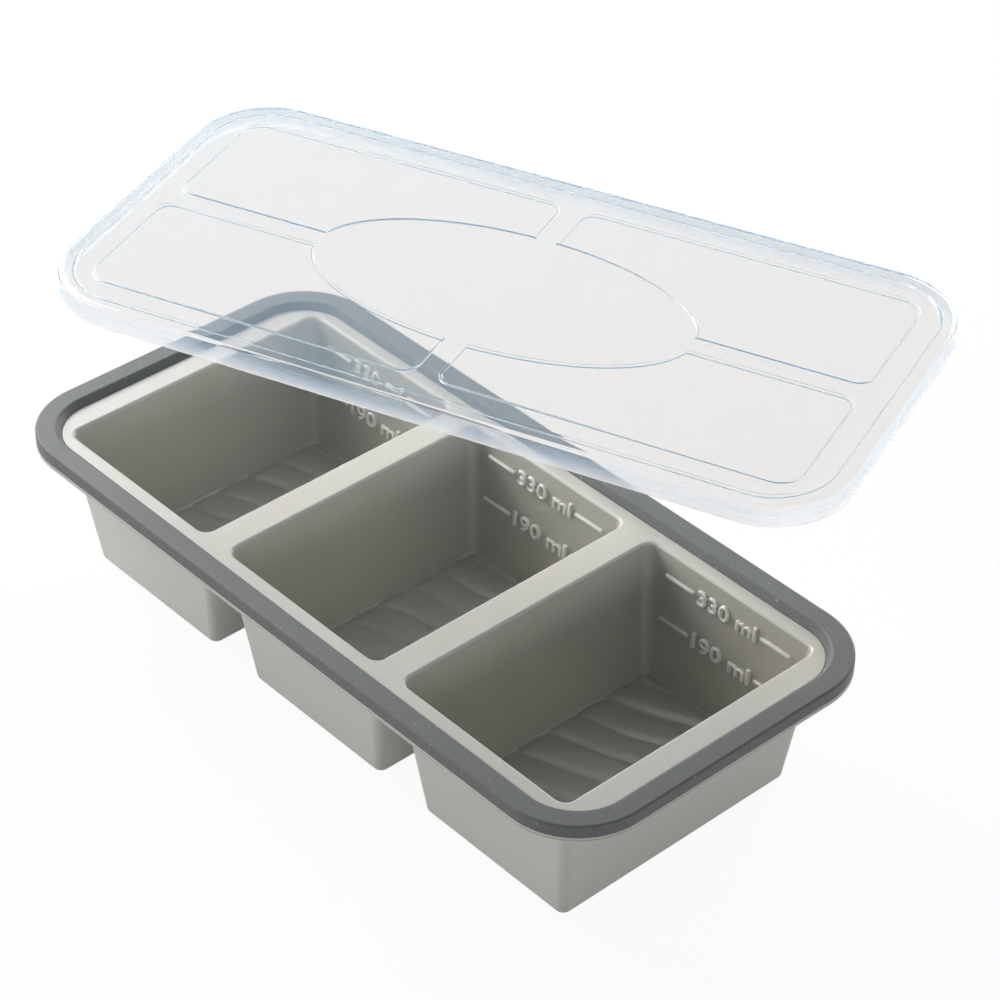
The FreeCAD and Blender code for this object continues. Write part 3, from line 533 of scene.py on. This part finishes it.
def rounding(radius, first, last, count=4):
    """Steps round an arc; angles run from outward, 0, through up, 90, to inward, 180."""
    points = []
    for k in range(count + 1):
        angle = math.radians(first + (last - first) * k / count)
        points.append((-radius * math.cos(angle), radius * math.sin(angle)))
    return [(b[0] - a[0], b[1] - a[1]) for a, b in zip(points, points[1:])]


def gone(steps):
    """How far a list of steps has gone, inward and upward."""
    return sum(s[0] for s in steps), sum(s[1] for s in steps)


def outward(piece):
    """Turns every face of a closed mesh outwards."""
    edit(piece)
    bpy.ops.mesh.select_all(action="SELECT")
    bpy.ops.mesh.remove_doubles(threshold=NEAR)
    bpy.ops.mesh.normals_make_consistent(inside=False)
    done()
    return piece


def apply_modifier(piece, kind, **settings):
    only(piece)
    bpy.ops.object.modifier_add(type=kind)
    modifier = piece.modifiers[-1]
    for name, value in settings.items():
        setattr(modifier, name, value)
    bpy.ops.object.modifier_apply(modifier=modifier.name)


def combine(piece, tool, operation):
    """Joins a tool to a piece, or cuts it away, and drops the tool."""
    apply_modifier(piece, "BOOLEAN", object=tool, operation=operation, solver="EXACT")
    bpy.data.objects.remove(tool)
    # slivers that the cut leaves, with no area of their own
    edit(piece)
    bpy.ops.mesh.select_all(action="SELECT")
    bpy.ops.mesh.dissolve_degenerate(threshold=NEAR)
    done()
    return piece


def copies(piece, places):
    """Copies of a piece with meshes of their own, moved by each of these, as one object."""
    made = []
    for place in places:
        other = piece.copy()
        other.data = piece.data.copy()
        bpy.context.scene.collection.objects.link(other)
        other.data.transform(place)
        made.append(other)
    bpy.data.objects.remove(piece)
    return joined(*made)


def joined(piece, *others):
    only(piece, *others)
    if others:
        bpy.ops.object.join()
    return piece


def soften(piece, degrees):
    """Smooth shading, apart from edges sharper than this."""
    only(piece)
    bpy.ops.object.shade_smooth_by_angle(angle=math.radians(degrees))


def smooth(piece, degrees=32):
    """Smooth shading with crisp steps, and flat faces kept flat."""
    soften(piece, degrees)
    apply_modifier(piece, "WEIGHTED_NORMAL", keep_sharp=True, weight=80)


def paint(piece, name, share):
    """Keeps a number from 0 to 1 at every vertex, for the finish to read."""
    kept = piece.data.attributes.new(name, "FLOAT", "POINT")
    for vertex, value in zip(piece.data.vertices, kept.data):
        value.value = share(vertex)


def dress(piece, name, body, slot, material, *nodes):
    """Gives a finished piece its name, finish and body, in place of its CAD nodes."""
    piece.name = piece.data.name = name
    piece.data.materials.clear()
    piece.data.materials.append(material)
    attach(piece, body)
    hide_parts(*nodes)


# ---------------------------------------------------------------- silicone moulding

def deck_level(tray):
    """Height of the deck above what the tray stands on."""
    return tray.depth + tray.floor


def moulding_plate(tray, rim):
    """The flange with its parting seam, and the raised deck, hollow underneath."""
    low = deck_level(tray) - rim.sink - tray.flange
    foot = rim.top + rim.slope
    turn = tray.flange_round
    piece = outline("plate", rim.long, rim.wide, rim.corner, low + turn)
    seam_level = low + turn + tray.seam
    edge = tray.flange_edge
    steps = [(0, tray.seam / 2), (0, tray.seam)]
    steps += [(0, tray.flange - turn - tray.seam * 1.5 - edge)] + rounding(edge, 0, 90, 3)
    steps += [(foot - gone(steps)[0], 0)]
    steps += [(0, rim.sink - tray.deck_round)]
    steps += rounding(tray.deck_round, 0, 90, 4)
    carry(steps)
    pick(piece, "FACE", lambda f: abs(middle(f).z - seam_level) < tray.seam / 4
         and abs(f.normal.z) < 0.1)
    bpy.ops.mesh.extrude_region_shrink_fatten(TRANSFORM_OT_shrink_fatten={"value": -tray.seam})
    pick(piece, "FACE", lambda f: len(f.verts) > 8 and abs(middle(f).z - low - turn) < NEAR)
    carry(rounding(turn, 0, -90, 5))
    done()
    outward(piece)
    hollow = outline("hollow", tray.deck_long - 2 * tray.deck_thick,
                     tray.deck_wide - 2 * tray.deck_thick,
                     rim.corner - foot - tray.deck_thick, low - 2 * BEYOND)
    carry([(0, deck_level(tray) - tray.deck_thick - low + 2 * BEYOND - tray.hollow_round)]
          + rounding(tray.hollow_round, 0, 90, 3))
    done()
    return combine(piece, outward(hollow), "DIFFERENCE")


def three_cups(tray, piece):
    """A piece made for the middle cup, repeated for all three."""
    return copies(piece, [Matrix.Translation((k * tray.pitch, 0, 0)) for k in (-1, 0, 1)])


def taper(piece, level, drop, share):
    """Takes the selected face at a level down by drop, its four corners moved in by share."""
    bpy.ops.mesh.extrude_region_move(TRANSFORM_OT_translate={"value": (0, 0, -drop)})
    foot = level - drop
    for x, y in ((1, 1), (1, -1), (-1, 1), (-1, -1)):
        pick(piece, "VERT", lambda v: abs(v.co.z - foot) < NEAR and v.co.x * x > 0
             and v.co.y * y > 0)
        shift(x=-x * share, y=-y * share)
    pick(piece, "FACE", lambda f: len(f.verts) > 8 and abs(middle(f).z - foot) < NEAR)


def cup_shells(tray):
    """Outsides of the cups, tapering down to rounded bases."""
    top = deck_level(tray) - tray.deck_thick / 2
    piece = outline("shell", tray.shell_long, tray.shell_wide, tray.shell_corner, top)
    lean = math.degrees(math.atan(tray.shell_taper / top))
    turn = rounding(tray.base_round, -lean, -90, 6)
    drop = top + gone(turn)[1]
    taper(piece, top, drop, tray.shell_taper * drop / top)
    carry(turn)
    done()
    return three_cups(tray, outward(piece))


def cup_cavities(tray):
    """Insides of the cups: rounded mouths, leaning walls, a soft turn into the floor."""
    level = deck_level(tray)
    flare = tray.mouth_round
    piece = outline("cavity", tray.mouth_long + 2 * flare, tray.mouth_wide + 2 * flare,
                    tray.corner + flare, level + BEYOND)
    lean = math.degrees(math.atan(tray.lean / tray.depth))
    mouth = rounding(flare, 90, 180 - lean, 6)
    turn = rounding(tray.floor_round, -lean, -90, 6)
    carry([(0, -BEYOND)] + mouth)
    drop = tray.depth + gone(mouth)[1] + gone(turn)[1]
    taper(piece, level + gone(mouth)[1], drop, drop * tray.lean / tray.depth)
    carry(turn)
    done()
    return three_cups(tray, outward(piece))


def ripple_height(tray, u, v):
    """Height of the ripples; u runs along them and v across."""
    wander = sum(far * math.sin(u * rate + first) for far, rate, first in RIPPLE_WANDER)
    number = math.floor((v + wander - tray.ripple_start) / tray.ripple_pitch)
    far, by_number, by_length = RIPPLE_STRAY
    wander += far * math.sin(number * by_number + u * by_length)
    place = (v + wander - tray.ripple_start) % tray.ripple_pitch
    part, by_number = CREST_CHANGE
    crest = tray.ripple_crest * (1 + part * math.sin(number * by_number))
    if place < crest:
        share = place / crest
    else:
        share = (tray.ripple_pitch - place) / (tray.ripple_pitch - crest)
    part, by_number, by_length = HEIGHT_CHANGE
    tall = tray.ripple_height * (1 - part + part * math.sin(number * by_number + u * by_length))
    return tall * math.sqrt(max(0.0, 1 - (1 - share) ** 2))


def floor_ripples(tray):
    """Soft skewed ripples over each cup floor, sunk a little into floor and walls."""
    grip = tray.ripple_grip
    long = tray.mouth_long - 2 * tray.lean + 2 * grip
    wide = tray.mouth_wide - 2 * tray.lean + 2 * grip
    feet = tray.floor - tray.ripple_sink
    sets = []
    for cup in (-1, 0, 1):
        piece = start("grid", "ripples", x_subdivisions=64, y_subdivisions=150, size=1)
        grow(long, wide, 1, (0, 0, 0))
        mesh = bmesh.from_edit_mesh(piece.data)
        turn = tray.ripple_skew
        for v in mesh.verts:
            along = v.co.x * math.cos(turn) + v.co.y * math.sin(turn)
            across = -v.co.x * math.sin(turn) + v.co.y * math.cos(turn)
            # towards the walls the ripples sink, so that each ends in a rounded tongue
            gap = min(long / 2 - abs(v.co.x), wide / 2 - abs(v.co.y))
            fade = min(1.0, max(0.0, gap / tray.ripple_fade)) ** TONGUE
            # each cup shows another stretch of the same wandering ripples
            height = ripple_height(tray, along + cup * tray.ripple_shift, across)
            v.co.z = feet + height * fade
        bmesh.update_edit_mesh(piece.data)
        bpy.ops.mesh.select_all(action="SELECT")
        down = (0, 0, -tray.ripple_root)
        bpy.ops.mesh.extrude_region_move(TRANSFORM_OT_translate={"value": down})
        grow(1, 1, 0, (0, 0, feet - tray.ripple_root))
        bpy.ops.mesh.select_all(action="SELECT")
        shift(x=cup * tray.pitch)
        done()
        sets.append(outward(piece))
    return joined(*sets)


def mark_wall(tray, drop):
    """Turns and moves flat marks onto the back wall, drop below the deck."""
    lean = math.atan(tray.lean / tray.depth)
    back = tray.mouth_wide / 2 - drop * tray.lean / tray.depth
    return (Matrix.Translation((0, back, deck_level(tray) - drop))
            @ Matrix.Rotation(math.pi / 2 - lean, 4, "X"))


def mark_lines(tray):
    """The two short lines beside a volume, lying flat about the origin."""
    root = tray.mark_root
    piece = start("cube", "line", size=1)
    grow(tray.mark_long, tray.mark_line, tray.mark_raise + root, (0, 0, 0))
    shift(x=tray.mark_near + tray.mark_long / 2, z=(tray.mark_raise - root) / 2)
    high = tray.mark_raise
    pick(piece, "EDGE", lambda e: abs(e.verts[0].co.z - e.verts[1].co.z) > high / 2)
    bpy.ops.mesh.bevel(offset=tray.mark_line * LINE_END, segments=4, affect="EDGES")
    pick(piece, "EDGE", lambda e: all(v.co.z > high - NEAR for v in e.verts)
         and len(e.link_faces) == 2
         and any(abs(f.normal.z) < 0.5 for f in e.link_faces))
    bpy.ops.mesh.bevel(offset=tray.mark_line * LINE_TOP, segments=5, affect="EDGES")
    done()
    return copies(outward(piece), [Matrix.Identity(4), Matrix.Rotation(math.pi, 4, "Z")])


def volume_text(tray, words):
    """A volume in raised figures, centred about the origin."""
    bpy.ops.object.select_all(action="DESELECT")
    bpy.ops.object.text_add()
    text = bpy.context.object
    text.data.body = words
    text.data.align_x = "CENTER"
    text.data.size = tray.figure_tall / FONT_CAPITAL
    text.data.bevel_depth = tray.mark_raise * STROKE_ROUND
    text.data.bevel_resolution = 3
    text.data.extrude = tray.mark_raise * (1 - STROKE_ROUND)
    text.data.offset = -tray.figure_thin
    text.data.resolution_u = 6
    bpy.ops.object.convert(target="MESH")
    piece = bpy.context.object
    low = min(v.co.y for v in piece.data.vertices)
    high = max(v.co.y for v in piece.data.vertices)
    left = min(v.co.x for v in piece.data.vertices)
    right = max(v.co.x for v in piece.data.vertices)
    share = tray.figure_long / (right - left)
    piece.data.transform(Matrix.Diagonal((share, 1, 1, 1))
                         @ Matrix.Translation((-(left + right) / 2, -(low + high) / 2, 0)))
    return piece


def volume_marks(tray):
    """Lines and figures on the back wall of every cup."""
    made = []
    for drop, words in ((tray.upper_drop, tray.upper_text), (tray.lower_drop, tray.lower_text)):
        piece = joined(mark_lines(tray), volume_text(tray, words))
        piece.data.transform(mark_wall(tray, drop))
        # every vertex of the marks gets the finish's painted highlight
        paint(piece, "mark", lambda v: 1.0)
        made.append(piece)
    return three_cups(tray, joined(*made))


class FREEZER_OT_tray(bpy.types.Operator):
    """Model the soft silicone moulding with its three cups"""
    bl_idname = "freezer.tray"
    bl_label = "Silicone tray"

    def execute(self, context):
        tray = context.scene.freezer_tray
        piece = moulding_plate(tray, context.scene.freezer_rim)
        combine(piece, cup_shells(tray), "UNION")
        combine(piece, cup_cavities(tray), "DIFFERENCE")
        smooth(piece)
        ripples = floor_ripples(tray)
        soften(ripples, 50)
        marks = volume_marks(tray)
        soften(marks, 40)
        joined(piece, ripples, marks)
        dress(piece, "tray_moulding", "tray", "silicone", silicone_finish(),
              "silicone_tray")
        return {"FINISHED"}


# ---------------------------------------------------------------- frame ring and its wire

def ring_foot(rim, low):
    """Underside of the ring with the slot for the wire, as an open sheet."""
    piece = outline("foot", rim.long, rim.wide, rim.corner, low)
    start_of_slot = rim.slot_inset - rim.slot_wide / 2
    rest = rim.top + rim.slope - start_of_slot - rim.slot_wide
    carry([(start_of_slot, 0), (0, rim.slot_tall), (rim.slot_wide, 0), (0, -rim.slot_tall),
           (rest, 0)])
    bpy.ops.mesh.delete(type="FACE")
    done()
    return piece


def ring_section(rim):
    """Steps from the ring's outer foot over its top and down to its inner foot."""
    lean = math.degrees(math.atan(rim.slope / rim.rise))
    tangent = rim.inner_round * math.tan(math.radians(90 - lean) / 2)
    steps = [(0, rim.rise + rim.sink - rim.outer_round)] + rounding(rim.outer_round, 0, 90, 5)
    steps += [(rim.top - rim.outer_round - tangent, 0)]
    steps += rounding(rim.inner_round, 90, 180 - lean, 5)
    inward, upward = gone(steps)
    # the inner face leans back from the deck's level and stands upright below it
    return steps + [(rim.top + rim.slope - inward, rim.sink - upward), (0, -rim.sink)]


class FREEZER_OT_rim(bpy.types.Operator):
    """Model the stiff frame ring and finish the wire inside it"""
    bl_idname = "freezer.rim"
    bl_label = "Frame ring"

    def execute(self, context):
        rim = context.scene.freezer_rim
        low = deck_level(context.scene.freezer_tray) - rim.sink
        piece = outline("ring", rim.long, rim.wide, rim.corner, low)
        carry(ring_section(rim))
        # the first face and the last lie flat at the foot, where the slotted sheet goes
        bpy.ops.mesh.delete(type="FACE")
        pick(piece, "FACE", lambda f: abs(middle(f).z - low) < NEAR and len(f.verts) > 8)
        bpy.ops.mesh.delete(type="FACE")
        done()
        outward(joined(piece, ring_foot(rim, low)))
        smooth(piece)
        dress(piece, "ring_moulding", "tray", "rim", slate_finish(), "rim_frame")
        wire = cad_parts["rim_wire"]
        wire.data.materials.clear()
        wire.data.materials.append(steel_finish())
        return {"FINISHED"}


# ---------------------------------------------------------------- clear lid

def lid_panel(lid, shrink, low, high, round_top):
    """One quarter panel beside the oval, as a block from low to high."""
    side = lid.channel / 2 + shrink
    inset = lid.bead + lid.ledge + shrink
    far_x = lid.long / 2 - inset
    far_y = lid.wide / 2 - inset
    piece = start("cube", "panel", size=1)
    grow(far_x - side, far_y - side, high - low, (0, 0, 0))
    shift(x=(far_x + side) / 2, y=(far_y + side) / 2, z=(high + low) / 2)
    done()
    oval = start("cylinder", "oval", vertices=192, radius=1, depth=0.02)
    grow(lid.oval_long / 2 + shrink, lid.oval_wide / 2 + shrink, 1, (0, 0, 0))
    done()
    combine(piece, oval, "DIFFERENCE")
    edit(piece)

    def corner(e, x, y):
        return all(abs(v.co.x - x) < 10 * NEAR and abs(v.co.y - y) < 10 * NEAR
                   for v in e.verts)

    for x, y, radius in ((far_x, side, lid.channel_corner), (side, far_y, lid.channel_corner),
                         (far_x, far_y, lid.panel_corner)):
        pick(piece, "EDGE", lambda e: corner(e, x, y))
        bpy.ops.mesh.bevel(offset=radius - shrink, segments=10, affect="EDGES")
    pick(piece, "EDGE", lambda e: all(v.co.z > high - NEAR for v in e.verts)
         and any(abs(f.normal.z) < 0.5 for f in e.link_faces))
    bpy.ops.mesh.bevel(offset=round_top, segments=3, affect="EDGES")
    done()
    sides = [Matrix.Diagonal((x, y, 1, 1)) for x in (1, -1) for y in (1, -1)]
    return outward(copies(outward(piece), sides))


def lid_outside(lid):
    """The lid as a solid block: skirt, edge bead, ledge and four raised panels."""
    soft = lid.step_round
    piece = outline("lid", lid.long, lid.wide, lid.corner, -lid.skirt)
    steps = [(0, lid.skirt - lid.top_round)] + rounding(lid.top_round, 0, 90, 6)
    steps += [(lid.bead - lid.top_round - soft, 0)] + rounding(soft, 90, 180, 4)
    steps += [(0, -lid.bead_rise + 2 * soft)] + rounding(soft, 0, -90, 4)
    carry(steps)
    done()
    panels = lid_panel(lid, 0.0, -lid.bead_rise - lid.sheet / 2,
                       lid.panel_rise - lid.bead_rise, soft)
    return combine(outward(piece), panels, "UNION")


def lid_inside(lid):
    """The hollow under the lid, which follows the steps in its top."""
    soft = lid.step_round
    under = -lid.bead_rise - lid.sheet
    piece = outline("hollow", lid.long - 2 * lid.wall, lid.wide - 2 * lid.wall,
                    lid.corner - lid.wall, -lid.skirt - 2 * BEYOND)
    steps = [(0, lid.skirt + 2 * BEYOND - lid.sheet - lid.inner_round)]
    steps += rounding(lid.inner_round, 0, 90, 3)
    web = lid.bead - lid.wall * STEP_WALL
    steps += [(web - lid.wall - gone(steps)[0] - soft, 0)] + rounding(soft, 90, 180, 3)
    steps += [(0, -lid.bead_rise + 2 * soft)] + rounding(soft, 0, -90, 3)
    carry(steps)
    done()
    panels = lid_panel(lid, lid.wall, under - BEYOND / 2, under + lid.panel_rise, soft)
    return combine(outward(piece), panels, "UNION")


class FREEZER_OT_lid(bpy.types.Operator):
    """Model the clear lid, lifted off and turned"""
    bl_idname = "freezer.lid"
    bl_label = "Clear lid"

    def execute(self, context):
        lid = context.scene.freezer_lid
        piece = combine(lid_outside(lid), lid_inside(lid), "DIFFERENCE")
        smooth(piece, 40)
        # the finish makes the lower skirt milkier than the rest, a painted highlight for the
        # bright band along the skirt
        paint(piece, "skirt", lambda v: 1.0 if v.co.z < -lid.skirt / 2 else 0.0)
        hang = (Matrix.Translation(Vector(lid.place)) @ Matrix.Rotation(lid.yaw, 4, "Z")
                @ Matrix.Rotation(lid.pitch, 4, "Y") @ Matrix.Rotation(lid.roll, 4, "X"))
        piece.matrix_world = hang
        only(piece)
        bpy.ops.object.transform_apply(location=True, rotation=True, scale=True)
        dress(piece, "lid_moulding", "lid", "clear_lid", clear_finish(), "lid")
        return {"FINISHED"}


# ---------------------------------------------------------------- stage

def lamp(name, power, size, place, aim):
    """A rectangular lamp that faces a point."""
    bpy.ops.object.light_add(type="AREA", location=place)
    light = bpy.context.object
    light.name = name
    light.data.energy = power
    light.data.shape = "RECTANGLE"
    light.data.size, light.data.size_y = size
    way = Vector(aim) - Vector(place)
    light.rotation_euler = way.to_track_quat("-Z", "Y").to_euler()


class FREEZER_OT_stage(bpy.types.Operator):
    """Set up the floor, the lamps, the sky and the camera"""
    bl_idname = "freezer.stage"
    bl_label = "Studio"

    def execute(self, context):
        scene = context.scene
        studio = scene.freezer_studio
        floor = start("plane", "studio_floor", size=30)
        done()
        floor.data.materials.append(floor_finish())
        for name, (size, place) in LAMPS.items():
            lamp(name, getattr(studio, name), size, place, studio.aim)
        scene.world = sky_finish()
        bpy.ops.object.camera_add(location=studio.camera)
        camera = context.object
        camera.rotation_mode = "QUATERNION"
        camera.rotation_quaternion = Quaternion(studio.turn)
        camera.data.sensor_width = 36
        camera.data.lens = studio.lens
        camera.data.clip_start = 0.01
        scene.camera = camera
        scene.view_settings.view_transform = "Standard"
        return {"FINISHED"}


class FREEZER_PT_panel(bpy.types.Panel):
    """Sizes, finishes and steps of the freezer tray"""
    bl_idname = "FREEZER_PT_panel"
    bl_label = "Freezer tray"
    bl_space_type = "VIEW_3D"
    bl_region_type = "UI"
    bl_category = "Freezer Tray"

    def draw(self, context):
        for operator in OPERATORS:
            self.layout.operator(operator.bl_idname)
        for name, group in GROUPS.items():
            box = self.layout.box()
            box.label(text=group.__doc__)
            for size in group.__annotations__:
                box.prop(getattr(context.scene, name), size)


OPERATORS = (FREEZER_OT_stage, FREEZER_OT_tray, FREEZER_OT_rim, FREEZER_OT_lid)


def register():
    for made in (*GROUPS.values(), *OPERATORS, FREEZER_PT_panel):
        bpy.utils.register_class(made)
    for name, group in GROUPS.items():
        setattr(bpy.types.Scene, name, PointerProperty(type=group))


def unregister():
    for name in GROUPS:
        delattr(bpy.types.Scene, name)
    for made in reversed((*GROUPS.values(), *OPERATORS, FREEZER_PT_panel)):
        bpy.utils.unregister_class(made)


def main():
    register()
    bpy.ops.freezer.stage()
    bpy.ops.freezer.tray()
    bpy.ops.freezer.rim()
    bpy.ops.freezer.lid()


if __name__ == "__main__":
    main()
